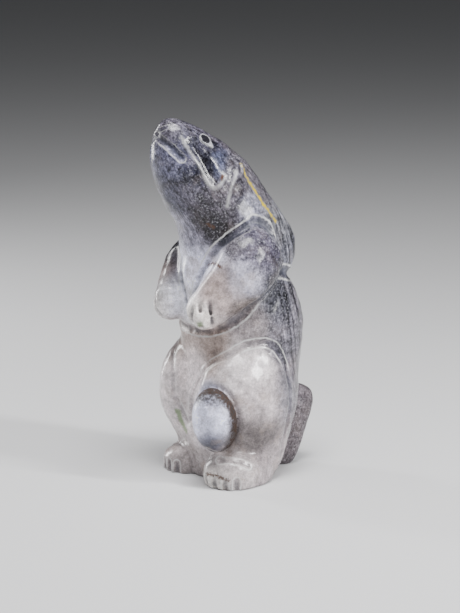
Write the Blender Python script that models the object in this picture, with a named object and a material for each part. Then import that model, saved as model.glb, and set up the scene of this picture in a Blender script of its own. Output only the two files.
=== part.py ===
"""A carved marble prairie dog, sitting up with its paws folded under a raised head.

One solid body stands on a flat underside, and two small dark stone eyes are inlaid in drilled
sockets. The figure faces -Y, its left side is +X, up is +Z, and the origin lies on the ground
under the middle of the figure.

The body is worked out as a field: negative inside the stone and positive outside. Rounded
masses are blended into it, grooves are cut along lines that lie on its surface, and a mesh is
drawn over its zero level. Its proportions are shares of the height, in figure units.
"""
import math

import bpy
import numpy as np
from mathutils import Matrix, Vector

# Driving sizes, in metres
HEIGHT = 0.075
EYE_DIAMETER = 0.0020
EYE_LENGTH = 0.0016
EYE_STANDS_OUT = 0.00015
SOCKET_CLEARANCE = 0.0003
EYE_SEGMENTS = 24

# The mesh of the body
CELL = 0.42
SOLID_TRIANGLES = 9200

# Lengths below are in figure units: the muzzle's top is FIGURE_TOP of them above the ground
FIGURE_TOP = 74.72
UNIT = HEIGHT / FIGURE_TOP
ORIGIN_Y = 2.2
FLOOR_DEPTH = 1.0
BOX_LOW = (-17.4, -20.0, -2.5)
BOX_HIGH = (17.4, 23.0, 77.0)

# Trunk: height, middle of the depth, half-width, half-depth
TRUNK = (
    (-6.0, 2.0, 8.4, 8.0),
    (3.0, 2.1, 9.2, 8.8),
    (9.0, 2.6, 11.2, 11.0),
    (16.0, 3.2, 12.2, 12.0),
    (22.0, 3.7, 12.0, 11.7),
    (28.0, 4.2, 12.2, 12.1),
    (33.0, 3.8, 12.2, 12.6),
    (38.0, 3.0, 11.5, 12.0),
    (41.5, 2.1, 10.8, 11.2),
    (46.0, 3.1, 11.0, 11.8),
    (51.0, 2.9, 10.0, 10.9),
    (56.0, 0.8, 8.0, 8.5),
    (61.0, -1.0, 4.0, 5.0),
)

# Head and neck, along an axis that rises forward: distance along it, middle, half-width, half-depth
HEAD_ROOT = (0.0, 2.5, 50.0)
HEAD_RISE = 53.0
HEAD = (
    (-6.0, 0.6, 7.5, 7.0),
    (0.0, 0.3, 9.2, 9.0),
    (5.0, 0.4, 9.4, 9.4),
    (9.0, 0.7, 9.1, 9.3),
    (13.0, 0.6, 8.7, 9.1),
    (18.0, 0.2, 7.7, 8.1),
    (22.0, -0.1, 6.5, 6.8),
    (25.5, -0.1, 4.8, 5.1),
    (27.6, 0.2, 3.5, 3.6),
    (29.0, 0.4, 2.2, 2.2),
    (29.8, 0.4, 0.9, 0.9),
)
EYE_SPOT = (5.0, -8.3, 70.7)
RIGHT_SHOULDER_DROP = 1.8
ARM_LINE_FLOOR = 38.0
SHOULDER_TOP = 54.0

# Grooves: lines on the left side, each point later moved onto the surface
ARM_FRONT = ((10.1, 0.1, 54.1), (9.3, -4.1, 51.5), (6.5, -7.0, 48.0), (3.6, -8.7, 43.0),
             (1.6, -9.5, 38.0), (0.5, -10.0, 34.0))
ARM_REAR = ((10.1, 0.1, 54.1), (10.4, 2.8, 53.0), (12.2, 4.8, 50.6), (12.6, 5.6, 47.2),
            (13.0, 4.8, 43.6), (13.0, 2.0, 39.6))
ARM_UNDER = ((12.4, 7.4, 42.8), (13.2, 3.4, 40.8), (12.8, -0.6, 37.6), (10.4, -3.6, 35.0),
             (8.4, -5.9, 33.0), (4.8, -7.9, 31.6), (0.0, -8.5, 31.3))
BACK_FOLD = ((12.4, 7.4, 42.8), (9.0, 12.0, 41.8), (0.0, 14.3, 41.3))
HAUNCH_FRONT_LEFT = ((0.3, -9.4, 12.5), (0.5, -9.3, 16.8), (1.8, -9.2, 20.4), (5.0, -8.9, 24.4))
HAUNCH_FRONT_RIGHT = ((-0.9, -8.7, 11.7), (-2.9, -8.8, 13.6), (-4.7, -9.6, 17.2), (-5.7, -9.5, 21.8),
                      (-7.5, -8.2, 25.1))
HAUNCH_TOP = ((9.1, -6.2, 27.2), (11.4, -1.5, 29.2), (12.2, 3.2, 28.6), (12.8, 6.2, 24.2),
              (13.2, 7.1, 18.5), (12.7, 6.8, 12.6), (11.4, 6.5, 5.0))
MOUTH = ((0.0, -16.6, 72.2), (2.2, -16.3, 70.4), (4.3, -15.1, 68.1), (5.9, -13.3, 66.0))
CHEEK = ((4.9, -13.1, 69.9), (5.9, -12.1, 68.1), (6.8, -11.0, 66.3), (7.5, -9.6, 63.9),
         (8.1, -8.3, 61.6), (8.5, -5.2, 62.0))
ANKLE = ((9.4, -11.0, 7.2), (11.6, -8.1, 6.1), (14.8, -4.2, 5.2))


def smooth_min(a, b, k):
    """Union of two fields, blended over the distance k."""
    h = np.clip(0.5 + 0.5 * (b - a) / k, 0.0, 1.0)
    return b + (a - b) * h - k * h * (1.0 - h)


def smooth_max(a, b, k):
    """Intersection of two fields, blended over the distance k."""
    return -smooth_min(-a, -b, k)


def turned(p, centre, tilt):
    """Coordinates of p in a frame at centre that is turned by tilt degrees about X, Y and Z."""
    x, y, z = (p[i] - centre[i] for i in range(3))
    about_x, about_y, about_z = (math.radians(t) for t in tilt)
    c, s = math.cos(about_z), math.sin(about_z)
    x, y = c * x + s * y, c * y - s * x
    c, s = math.cos(about_y), math.sin(about_y)
    x, z = c * x - s * z, c * z + s * x
    c, s = math.cos(about_x), math.sin(about_x)
    y, z = c * y + s * z, c * z - s * y
    return x, y, z


def egg(p, centre, radii, tilt=(0, 0, 0), power=2.0):
    """Field of an ellipsoid; a power over 2 makes it squarer."""
    x, y, z = turned(p, centre, tilt)
    a, b, c = radii
    if power == 2.0:
        k0 = np.sqrt((x / a) ** 2 + (y / b) ** 2 + (z / c) ** 2)
        k1 = np.sqrt((x / a ** 2) ** 2 + (y / b ** 2) ** 2 + (z / c ** 2) ** 2) + 1e-6
        return k0 * (k0 - 1.0) / k1
    k0 = (np.abs(x / a) ** power + np.abs(y / b) ** power + np.abs(z / c) ** power) ** (1 / power)
    r = np.sqrt(x * x + y * y + z * z) + 1e-6
    return r * (1.0 - 1.0 / (k0 + 1e-6))


def limb(p, start, end, r0, r1, flat):
    """Field of a round limb from start to end; flat scales its thickness along X, Y and Z."""
    q = [p[i] / flat[i] for i in range(3)]
    a = [start[i] / flat[i] for i in range(3)]
    d = [end[i] / flat[i] - a[i] for i in range(3)]
    t = sum((q[i] - a[i]) * d[i] for i in range(3)) / sum(v * v for v in d)
    t = np.clip(t, 0.0, 1.0)
    r = np.sqrt(sum((q[i] - a[i] - t * d[i]) ** 2 for i in range(3)))
    return (r - (r0 + (r1 - r0) * t)) * min(flat)


def smooth_curve(knots, samples):
    """A smooth curve through rows of knots, by cubic pieces between the rows."""
    k = np.array(knots, float)
    at = np.arange(len(k), dtype=float)
    slope = np.gradient(k, axis=0)
    t = np.linspace(0.0, len(k) - 1.0, samples)
    i = np.clip(np.floor(t).astype(int), 0, len(k) - 2)
    u = (t - at[i])[:, None]
    return ((1 + 2 * u) * (1 - u) ** 2 * k[i] + u * (1 - u) ** 2 * slope[i]
            + u * u * (3 - 2 * u) * k[i + 1] + u * u * (u - 1) * slope[i + 1])


def lofted(across, depth, along, stations, power):
    """Field of a body with a rounded cross-section at each station along its axis."""
    t, middle, width, height = smooth_curve(stations, 400).T
    c = np.interp(along, t, middle)
    a = np.interp(along, t, width)
    b = np.interp(along, t, height)
    k = (np.abs(across / a) ** power + np.abs((depth - c) / b) ** power) ** (1 / power)
    f = (k - 1.0) * np.minimum(a, b)
    beyond = np.maximum(np.maximum(t[0] - along, along - t[-1]), 0.0)
    return np.where(beyond > 0, np.sqrt(np.maximum(f, 0) ** 2 + beyond ** 2), f)


def sided(points, side):
    """Points of a line on the left side, or mirrored to the right side when side is -1."""
    return [(x * side, y, z) for x, y, z in points]


def arm_line(points, side):
    """A line around the arm; on the right side it sinks with the lower shoulder."""
    moved = []
    for x, y, z in sided(points, side):
        share = (z - ARM_LINE_FLOOR) / (SHOULDER_TOP - ARM_LINE_FLOOR)
        drop = RIGHT_SHOULDER_DROP if side < 0 else 0.0
        moved.append((x, y, z - drop * min(max(share, 0.0), 1.0)))
    return moved


def head_field(p):
    """The head and neck, swept along an axis that rises forward."""
    rise = math.radians(HEAD_RISE)
    y = p[1] - HEAD_ROOT[1]
    z = p[2] - HEAD_ROOT[2]
    along = z * math.sin(rise) - y * math.cos(rise)
    depth = y * math.sin(rise) + z * math.cos(rise)
    return lofted(p[0], depth, along, HEAD, 2.2)


def arm_field(p, side):
    """A plump upper arm that folds forward and down to a small paw; the right shoulder is lower."""
    if side > 0:
        shoulder = egg(p, (9.3, 0.2, 46.2), (5.4, 6.2, 6.6), (25, 0, 0))
        start = (9.4, -2.4, 42.9)
    else:
        shoulder = egg(p, (-9.0, 1.2, 46.2 - RIGHT_SHOULDER_DROP), (5.2, 5.8, 6.0), (25, 0, 0))
        start = (-9.5, -2.2, 42.6 - RIGHT_SHOULDER_DROP)
    end = (6.1 * side, -8.9, 36.4)
    return smooth_min(shoulder, limb(p, start, end, 6.4, 4.2, (0.8, 1.0, 1.0)), 3.0)


def haunch_field(p, side):
    """A folded hind leg: a full thigh over a lower leg."""
    thigh = egg(p, (7.3 * side, 0.4, 17.4), (7.2, 10.6, 11.3), power=2.2)
    shin = egg(p, (7.0 * side, 1.5, 9.0), (5.6, 7.6, 10.0), power=2.3)
    return smooth_min(thigh, shin, 2.0)


def masses(p):
    """The whole figure without its cut lines."""
    f = lofted(p[0], p[1], p[2], TRUNK, 2.2)
    f = smooth_min(f, head_field(p), 3.5)
    for side in (1, -1):
        f = smooth_min(f, haunch_field(p, side), 2.0)
        f = smooth_min(f, arm_field(p, side), 1.0)
        ear = egg(p, (6.9 * side, -2.5, 64.4), (1.1, 2.0, 3.0), (-30, -20 * side, 0))
        f = smooth_min(f, ear, 0.6)
    left_foot = egg(p, (8.6, -2.6, 2.6), (5.7, 7.9, 4.6), (0, 0, 16), 2.6)
    right_foot = egg(p, (-6.8, -3.0, 1.6), (5.2, 6.6, 4.0), (0, 0, -8), 2.6)
    knee = egg(p, (9.2, -8.8, 14.2), (5.0, 4.6, 7.0), (8, 8, 0))
    tail = egg(p, (0.0, 14.9, 8.4), (3.4, 4.6, 9.0), (-22, 0, 0), 4.0)
    f = smooth_min(f, left_foot, 1.0)
    f = smooth_min(f, right_foot, 1.0)
    f = smooth_min(f, knee, 0.8)
    f = smooth_min(f, tail, 0.8)
    return f


def slope_at(p, h=0.05):
    """Gradient of the field at the points p, a row for each axis."""
    rows = []
    for i in range(3):
        ahead = [c + (h if j == i else 0.0) for j, c in enumerate(p)]
        behind = [c - (h if j == i else 0.0) for j, c in enumerate(p)]
        rows.append((masses(ahead) - masses(behind)) / (2 * h))
    return np.array(rows)


def onto_surface(points, rounds=6):
    """The points moved along the field's slope until they lie on the surface."""
    q = np.array(points, float).T
    for _ in range(rounds):
        slope = slope_at(q)
        q = q - masses(q) * slope / np.maximum((slope ** 2).sum(0), 1e-6)
    return q.T


def carve(f, axes, points, width, depth, curved=True):
    """Cuts a V groove with a soft floor into the field, along a line on the surface."""
    line = onto_surface(smooth_curve(points, 6 * len(points)) if curved else points)
    spans = []
    for i in range(3):
        low = np.searchsorted(axes[i], line[:, i].min() - width)
        high = np.searchsorted(axes[i], line[:, i].max() + width)
        spans.append(slice(low, high))
    x, y, z = np.meshgrid(*(axes[i][spans[i]] for i in range(3)), indexing="ij", sparse=True)
    nearest = np.full(f[tuple(spans)].shape, 1e6)
    for a, b in zip(line[:-1], line[1:]):
        d = b - a
        t = ((x - a[0]) * d[0] + (y - a[1]) * d[1] + (z - a[2]) * d[2]) / max(float(d @ d), 1e-9)
        t = np.clip(t, 0.0, 1.0)
        gap = (x - a[0] - t * d[0]) ** 2 + (y - a[1] - t * d[1]) ** 2 + (z - a[2] - t * d[2]) ** 2
        nearest = np.minimum(nearest, gap)
    u = np.clip(np.sqrt(nearest) / width, 0.0, 1.0)
    f[tuple(spans)] += depth * (1.0 - u) ** 2 * (1.0 + 2.0 * u)


def carve_fingers(f, axes, side):
    """Three short cuts that part the fingers of a paw."""
    for k in range(3):
        top = (side * (6.2 + 1.4 * k), -13.4 + 1.5 * k, 36.4 + 0.4 * k)
        low = (side * (5.2 + 1.4 * k), -11.8 + 1.5 * k, 31.6 + 0.2 * k)
        carve(f, axes, (top, low), 0.9, 0.8, curved=False)


def carve_toes(f, axes, front, turn):
    """Four short upright cuts that part the toes of a foot, spread about its front."""
    for k in range(4):
        swing = math.radians(turn + 20.0 * (k - 1.5))
        x = front[0] + front[2] * math.sin(swing)
        y = front[1] - front[2] * math.cos(swing)
        carve(f, axes, ((x, y, 3.6), (x, y, 0.0)), 0.8, 0.7, curved=False)


def figure_field(axes):
    """The field of the carved figure over a grid with the given axes."""
    p = np.meshgrid(*axes, indexing="ij", sparse=True)
    f = np.array(masses(p), dtype=float)
    for side in (1, -1):
        front = HAUNCH_FRONT_LEFT if side > 0 else sided(HAUNCH_FRONT_RIGHT, -1)
        carve(f, axes, arm_line(ARM_FRONT, side), 1.5, 0.9)
        carve(f, axes, arm_line(ARM_REAR, side), 1.3, 0.7)
        carve(f, axes, sided(ARM_UNDER, side), 1.5, 0.9)
        carve(f, axes, sided(BACK_FOLD, side), 1.5, 0.7)
        carve(f, axes, sided(tuple(front) + HAUNCH_TOP, side), 1.3, 0.8)
        carve(f, axes, sided(MOUTH, side), 1.1, 0.9)
        carve(f, axes, sided(CHEEK, side), 1.0, 0.5)
        carve(f, axes, sided(ANKLE, side), 1.2, 0.6)
        carve_fingers(f, axes, side)
    carve_toes(f, axes, (8.6, -2.6, 7.6), 16)
    carve_toes(f, axes, (-6.8, -3.0, 6.6), -8)
    return np.maximum(f, -FLOOR_DEPTH - p[2])


def fill_crossings(inside, f):
    """Fills cells that meet only at an edge or corner, where the mesh would touch itself."""
    for _ in range(12):
        bad = np.zeros_like(inside)
        for first, second in ((0, 1), (0, 2), (1, 2)):
            squares = {}
            for i in (0, 1):
                for j in (0, 1):
                    cut = [slice(None)] * 3
                    cut[first] = slice(i, i - 1 if i == 0 else None)
                    cut[second] = slice(j, j - 1 if j == 0 else None)
                    squares[i, j] = tuple(cut)
            a, b, c, d = (inside[squares[k]] for k in ((0, 0), (1, 0), (0, 1), (1, 1)))
            odd = (a & d & ~b & ~c) | (b & c & ~a & ~d)
            for cut in squares.values():
                bad[cut] |= odd
        bad &= ~inside
        if not bad.any():
            break
        f[bad] = -1e-3
        inside |= bad


def surface_mesh(f, axes):
    """Quads over the zero level of the field, with one vertex in each cell that it crosses."""
    inside = f < 0
    fill_crossings(inside, f)
    shape = np.array(f.shape)
    corners = [(i, j, k) for i in (0, 1) for j in (0, 1) for k in (0, 1)]

    def corner(grid, c):
        return grid[c[0]:shape[0] - 1 + c[0], c[1]:shape[1] - 1 + c[1], c[2]:shape[2] - 1 + c[2]]

    count = sum(corner(inside, c).astype(np.int8) for c in corners)
    crossed = (count > 0) & (count < 8)
    cells = np.argwhere(crossed)
    number = np.full(crossed.shape, -1, np.int64)
    number[crossed] = np.arange(len(cells))
    total = np.zeros((len(cells), 3))
    hits = np.zeros(len(cells))
    for start in corners:
        for axis in range(3):
            if start[axis]:
                continue
            end = list(start)
            end[axis] = 1
            fa = corner(f, start)[crossed]
            fb = corner(f, tuple(end))[crossed]
            cross = (fa < 0) != (fb < 0)
            spot = np.tile(np.array(start, float), (len(cells), 1))
            spot[:, axis] += np.where(cross, fa / np.where(cross, fa - fb, 1.0), 0.0)
            total += spot * cross[:, None]
            hits += cross
    step = np.array([a[1] - a[0] for a in axes])
    low = np.array([a[0] for a in axes])
    verts = low + (cells + total / hits[:, None]) * step

    quads = []
    for axis in range(3):
        others = [d for d in range(3) if d != axis]
        ahead = [slice(None)] * 3
        behind = [slice(None)] * 3
        ahead[axis] = slice(0, -1)
        behind[axis] = slice(1, None)
        first = inside[tuple(ahead)]
        edges = np.argwhere(first != inside[tuple(behind)])
        leaving = first[tuple(edges.T)]

        def cell(d1, d2):
            at = edges.copy()
            at[:, others[0]] -= d1
            at[:, others[1]] -= d2
            return number[tuple(at.T)]

        faces = np.stack([cell(1, 1), cell(0, 1), cell(0, 0), cell(1, 0)], 1)
        keep = leaving if axis != 1 else ~leaving
        faces[~keep] = faces[~keep][:, ::-1]
        quads.append(faces)
    return verts, np.concatenate(quads)


def grid_axes():
    """Axes of the grid that the field is worked out on."""
    return [np.arange(low, high, CELL) for low, high in zip(BOX_LOW, BOX_HIGH)]


def placed(point):
    """A point in figure units as a place in metres, with the origin under the figure's middle."""
    x, y, z = point
    return Vector((x * UNIT, (y - ORIGIN_Y) * UNIT, z * UNIT))


def stone(name, colour, roughness):
    """A polished stone material."""
    material = bpy.data.materials.new(name)
    material.use_nodes = True
    shader = material.node_tree.nodes["Principled BSDF"]
    shader.inputs["Base Color"].default_value = (*colour, 1.0)
    shader.inputs["Roughness"].default_value = roughness
    shader.inputs["Metallic"].default_value = 0.0
    return material


def add_object(name, verts, faces, material=None):
    """A mesh object in the scene."""
    mesh = bpy.data.meshes.new(name)
    mesh.from_pydata(verts, [], faces)
    mesh.update()
    if material:
        mesh.materials.append(material)
    item = bpy.data.objects.new(name, mesh)
    bpy.context.scene.collection.objects.link(item)
    return item


def add_turned(name, profile, top, frame, material=None):
    """A solid turned about its own Z: radius and height from the bottom up, then its top."""
    verts = [(0.0, 0.0, profile[0][1])]
    faces = []
    n = EYE_SEGMENTS
    for radius, height in profile:
        for k in range(n):
            angle = 2 * math.pi * k / n
            verts.append((radius * math.cos(angle), radius * math.sin(angle), height))
    verts.append((0.0, 0.0, top))
    for k in range(n):
        after = (k + 1) % n
        faces.append((0, 1 + after, 1 + k))
        for ring in range(len(profile) - 1):
            low = 1 + ring * n
            faces.append((low + k, low + after, low + n + after, low + n + k))
        rim = 1 + (len(profile) - 1) * n
        faces.append((rim + k, rim + after, len(verts) - 1))
    item = add_object(name, verts, faces, material)
    item.matrix_world = frame
    return item


def eye_frame(side):
    """The frame of an eye: its origin on the head's surface and its Z pointing out of the head."""
    spot = onto_surface([(EYE_SPOT[0] * side, EYE_SPOT[1], EYE_SPOT[2])])
    outward = Vector(slope_at(spot.T)[:, 0]).normalized()
    turn = outward.to_track_quat("Z", "Y").to_matrix().to_4x4()
    return Matrix.Translation(placed(spot[0])) @ turn


def eye_profile():
    """The eye's outline: straight sides and the start of a low polished dome."""
    r = EYE_DIAMETER / 2
    rows = [(r, -EYE_LENGTH), (r, 0.0)]
    for k in range(1, 4):
        angle = math.radians(90.0 * k / 4)
        rows.append((r * math.cos(angle), EYE_STANDS_OUT * math.sin(angle)))
    return rows


def cut_with(body, cutter):
    """Takes the cutter's shape away from the body."""
    cutter.hide_render = True
    cutter.display_type = "WIRE"
    cut = body.modifiers.new(cutter.name, "BOOLEAN")
    cut.operation = "DIFFERENCE"
    cut.solver = "EXACT"
    cut.object = cutter


def build_body(marble):
    """The carved body: a mesh over the field, with fewer triangles and a flat underside."""
    axes = grid_axes()
    verts, quads = surface_mesh(figure_field(axes), axes)
    body = add_object("prairie_dog", [placed(v) for v in verts.tolist()], quads.tolist(), marble)
    fewer = body.modifiers.new("fewer triangles", "DECIMATE")
    fewer.ratio = SOLID_TRIANGLES / (2 * len(quads))
    width = 2 * (BOX_HIGH[1] - BOX_LOW[1]) * UNIT
    corners = [(x * width / 2, y * width / 2, z * 4 * FLOOR_DEPTH * UNIT)
               for z in (-1, 0) for y in (-1, 1) for x in (-1, 1)]
    sides = [(0, 2, 3, 1), (4, 5, 7, 6), (0, 1, 5, 4), (1, 3, 7, 5), (3, 2, 6, 7), (2, 0, 4, 6)]
    cut_with(body, add_object("underside_cut", corners, sides))
    return body


def build_eye(body, side, jet):
    """An inlaid eye, and the socket that is drilled for it."""
    name = "left_eye" if side > 0 else "right_eye"
    frame = eye_frame(side)
    add_turned(name, eye_profile(), EYE_STANDS_OUT, frame, jet)
    radius = EYE_DIAMETER / 2 + SOCKET_CLEARANCE
    floor = -EYE_LENGTH - SOCKET_CLEARANCE
    above = EYE_DIAMETER
    drill = add_turned(name + "_socket", [(radius, floor), (radius, above)], above, frame)
    cut_with(body, drill)


def build():
    for item in list(bpy.data.objects):
        bpy.data.objects.remove(item)
    body = build_body(stone("marble", (0.50, 0.48, 0.49), 0.32))
    jet = stone("jet", (0.012, 0.011, 0.012), 0.18)
    for side in (1, -1):
        build_eye(body, side, jet)


build()
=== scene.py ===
"""The looks of the marble prairie dog: the finely carved stone, its inlaid eyes and a plain studio.

The stone is the same figure as the CAD body, worked out again as a field on a finer grid, with
the face, fingers, toes and knee cut in more detail. Masks are worked out for its vertices from
the cut lines and from soft patches of tint, and the stone's material builds on them. Some of
them paint light into the colour: painted shade in the floors of the cuts, the face's recesses,
along the knee's seam and on the low parts of knee and haunch, and painted highlights along the
cut edges and ridges.
"""
import math

import bpy
import numpy as np
from mathutils import Matrix, Vector


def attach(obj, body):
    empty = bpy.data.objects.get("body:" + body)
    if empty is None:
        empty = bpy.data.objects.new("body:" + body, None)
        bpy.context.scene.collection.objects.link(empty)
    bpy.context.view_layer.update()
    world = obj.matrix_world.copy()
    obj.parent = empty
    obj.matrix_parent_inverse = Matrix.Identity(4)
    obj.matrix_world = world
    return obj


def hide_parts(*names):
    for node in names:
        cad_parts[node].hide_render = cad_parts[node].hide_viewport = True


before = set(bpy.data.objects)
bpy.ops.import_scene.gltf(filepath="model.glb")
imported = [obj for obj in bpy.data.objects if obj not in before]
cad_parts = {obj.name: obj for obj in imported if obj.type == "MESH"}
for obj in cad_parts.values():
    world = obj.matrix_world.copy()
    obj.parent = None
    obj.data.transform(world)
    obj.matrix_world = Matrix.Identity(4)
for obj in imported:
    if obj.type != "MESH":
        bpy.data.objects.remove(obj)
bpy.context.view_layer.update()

# The figure's own units, as in the CAD source
HEIGHT = 0.075
FIGURE_TOP = 74.72
UNIT = HEIGHT / FIGURE_TOP
ORIGIN_Y = 2.2
BOX_LOW = (-17.4, -20.0, -2.5)
BOX_HIGH = (17.4, 23.0, 77.0)
CELL = 0.32

# The inlaid eyes, in figure units
EYE_RADIUS = 1.03
EYE_DEPTH = 0.9
EYE_EDGE = 0.05
EYE_DOME = 0.24
SOCKET_SPARE = 0.12
EYE_SEGMENTS = 64

# Trunk: height, middle of the depth, half-width, half-depth
TRUNK = (
    (-6.0, 2.0, 8.4, 8.0),
    (3.0, 2.1, 9.2, 8.8),
    (9.0, 2.6, 11.2, 11.0),
    (16.0, 3.2, 12.2, 12.0),
    (22.0, 3.7, 12.0, 11.7),
    (28.0, 4.2, 12.2, 12.1),
    (33.0, 3.8, 12.2, 12.6),
    (38.0, 3.0, 11.5, 12.0),
    (41.5, 2.1, 10.8, 11.2),
    (46.0, 3.1, 11.0, 11.8),
    (51.0, 2.9, 10.0, 10.9),
    (56.0, 0.8, 8.0, 8.5),
    (61.0, -1.0, 4.0, 5.0),
)

# Head and neck, along an axis that rises forward: distance along it, middle, half-width, half-depth
HEAD_ROOT = (0.0, 2.5, 50.0)
HEAD_RISE = 53.0
HEAD = (
    (-6.0, 0.6, 7.5, 7.0),
    (0.0, 0.3, 9.2, 9.0),
    (5.0, 0.4, 9.4, 9.4),
    (9.0, 0.7, 9.1, 9.3),
    (13.0, 0.6, 8.7, 9.1),
    (18.0, 0.2, 7.7, 8.1),
    (22.0, -0.1, 6.5, 6.8),
    (25.5, -0.1, 4.8, 5.1),
    (27.6, 0.2, 3.5, 3.6),
    (29.0, 0.4, 2.2, 2.2),
    (29.8, 0.4, 0.9, 0.9),
)
EYE_SPOT = (5.0, -8.3, 70.7)
RIGHT_SHOULDER_DROP = 1.8
ARM_LINE_FLOOR = 38.0
SHOULDER_TOP = 54.0

# Grooves: lines on the left side, each point later moved onto the surface
ARM_FRONT = ((10.1, 0.1, 54.1), (9.3, -4.1, 51.5), (6.5, -7.0, 48.0), (3.6, -8.7, 43.0),
             (1.6, -9.5, 38.0), (0.5, -10.0, 34.0))
ARM_REAR = ((10.1, 0.1, 54.1), (10.4, 2.8, 53.0), (12.2, 4.8, 50.6), (12.6, 5.6, 47.2),
            (13.0, 4.8, 43.6), (13.0, 2.0, 39.6))
ARM_UNDER = ((12.4, 7.4, 42.8), (13.2, 3.4, 40.8), (12.8, -0.6, 37.6), (10.4, -3.6, 35.0),
             (8.4, -5.9, 33.0), (4.8, -7.9, 31.6), (0.0, -8.5, 31.3))
BACK_FOLD = ((12.4, 7.4, 42.8), (9.0, 12.0, 41.8), (0.0, 14.3, 41.3))
HAUNCH_FRONT_LEFT = ((0.3, -9.4, 12.5), (0.5, -9.3, 16.8), (1.8, -9.2, 20.4), (5.0, -8.9, 24.4))
HAUNCH_FRONT_RIGHT = ((-0.9, -8.7, 11.7), (-2.9, -8.8, 13.6), (-4.7, -9.6, 17.2), (-5.7, -9.5, 21.8),
                      (-7.5, -8.2, 25.1))
HAUNCH_TOP = ((9.1, -6.2, 27.2), (11.4, -1.5, 29.2), (12.2, 3.2, 28.6), (12.8, 6.2, 24.2),
              (13.2, 7.1, 18.5), (12.7, 6.8, 12.6), (11.4, 6.5, 5.0))
# Grooves of the face, the ear and the feet: points, half-width and depth
MOUTH = ((0.0, -16.8, 71.6), (1.3, -16.6, 70.8), (2.9, -16.0, 69.9), (4.1, -15.2, 68.7), (5.2, -14.1, 67.3))
NOSE_EDGE = ((0.0, -16.4, 72.5), (0.9, -15.9, 72.8), (1.9, -14.9, 73.3), (3.0, -13.6, 73.2))
NOSTRIL = ((0.8, -15.6, 73.9), (1.3, -15.1, 74.2), (2.0, -14.6, 74.0))
BROW = ((3.4, -8.6, 72.3), (4.6, -6.9, 71.2), (5.4, -6.2, 70.0), (6.1, -6.4, 68.9), (6.5, -7.0, 67.8))
CHEEK_HOLLOW = ((5.4, -11.7, 70.2), (6.4, -10.8, 68.2), (7.0, -9.9, 66.2), (7.6, -9.0, 64.2), (8.1, -8.0, 62.9))
CHEEK_RIDGE = ((4.3, -13.4, 71.2), (5.1, -13.0, 69.7), (6.0, -12.2, 67.9), (6.7, -11.2, 66.3),
               (7.2, -10.4, 64.5), (7.6, -9.7, 62.7), (8.1, -8.3, 61.2), (8.3, -6.8, 61.9), (8.2, -5.4, 63.4))
EAR_RIM = ((7.1, -5.6, 66.6), (6.6, -4.8, 67.4), (6.1, -3.4, 67.6), (6.5, -2.2, 66.8), (7.2, -1.6, 65.4),
           (7.8, -1.9, 63.9))
EAR_FOLD = ((7.5, -4.9, 65.4), (7.2, -4.1, 66.2), (7.3, -3.2, 65.9), (7.6, -3.0, 64.9), (7.9, -3.7, 64.0))
NECK_LINE = ((7.9, -2.9, 64.0), (8.4, -3.7, 62.5), (8.7, -4.6, 61.0), (8.8, -5.2, 59.2), (8.7, -5.6, 57.4))
ANKLE = ((9.4, -11.0, 7.2), (11.6, -8.1, 6.1), (14.8, -4.2, 5.2))
TOE_CRACK = ((8.3, -10.5, 2.9), (10.4, -10.3, 3.1), (12.1, -9.7, 2.8), (13.7, -8.9, 2.3))

# Marks in the stone: a yellow vein, rusty traces and green traces, as lines on the surface
VEIN = ((7.0, -1.5, 65.2), (7.6, -0.4, 63.3), (8.0, 0.5, 61.5), (8.4, 2.0, 59.2), (8.9, 3.4, 56.9),
        (9.3, 4.8, 54.8), (9.5, 5.9, 53.3))
RUST_ARC = ((4.6, -8.4, 44.7), (5.6, -7.8, 45.5), (8.1, -7.8, 45.9), (10.1, -7.5, 45.3))
RUST_EAR = ((8.1, -6.6, 63.0), (8.2, -6.2, 63.5))
RUST_NECK = ((6.4, -8.8, 53.6), (7.2, -8.0, 53.0))
GREEN_HAUNCH = ((-4.2, -8.9, 13.3), (-3.5, -8.4, 11.1), (-2.4, -8.3, 9.6))
GREEN_FINGER = ((7.5, -11.2, 34.2), (7.4, -11.0, 33.4))

# The rounded knee on the left haunch
KNEE_PLACE = (9.2, -8.8, 14.2)
KNEE_RADII = (5.0, 4.6, 7.0)
KNEE_TILT = (8, 8, 0)
KNEE_FOOT = 7.6


def smooth_min(a, b, k):
    """Union of two fields, blended over the distance k."""
    h = np.clip(0.5 + 0.5 * (b - a) / k, 0.0, 1.0)
    return b + (a - b) * h - k * h * (1.0 - h)


def smooth_max(a, b, k):
    """Intersection of two fields, blended over the distance k."""
    return -smooth_min(-a, -b, k)


def turned(p, centre, tilt):
    """Coordinates of p in a frame at centre that is turned by tilt degrees about X, Y and Z."""
    x, y, z = (p[i] - centre[i] for i in range(3))
    about_x, about_y, about_z = (math.radians(t) for t in tilt)
    c, s = math.cos(about_z), math.sin(about_z)
    x, y = c * x + s * y, c * y - s * x
    c, s = math.cos(about_y), math.sin(about_y)
    x, z = c * x - s * z, c * z + s * x
    c, s = math.cos(about_x), math.sin(about_x)
    y, z = c * y + s * z, c * z - s * y
    return x, y, z


def egg(p, centre, radii, tilt=(0, 0, 0), power=2.0):
    """Field of an ellipsoid; a power over 2 makes it squarer."""
    x, y, z = turned(p, centre, tilt)
    a, b, c = radii
    if power == 2.0:
        k0 = np.sqrt((x / a) ** 2 + (y / b) ** 2 + (z / c) ** 2)
        k1 = np.sqrt((x / a ** 2) ** 2 + (y / b ** 2) ** 2 + (z / c ** 2) ** 2) + 1e-6
        return k0 * (k0 - 1.0) / k1
    k0 = (np.abs(x / a) ** power + np.abs(y / b) ** power + np.abs(z / c) ** power) ** (1 / power)
    r = np.sqrt(x * x + y * y + z * z) + 1e-6
    return r * (1.0 - 1.0 / (k0 + 1e-6))


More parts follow.
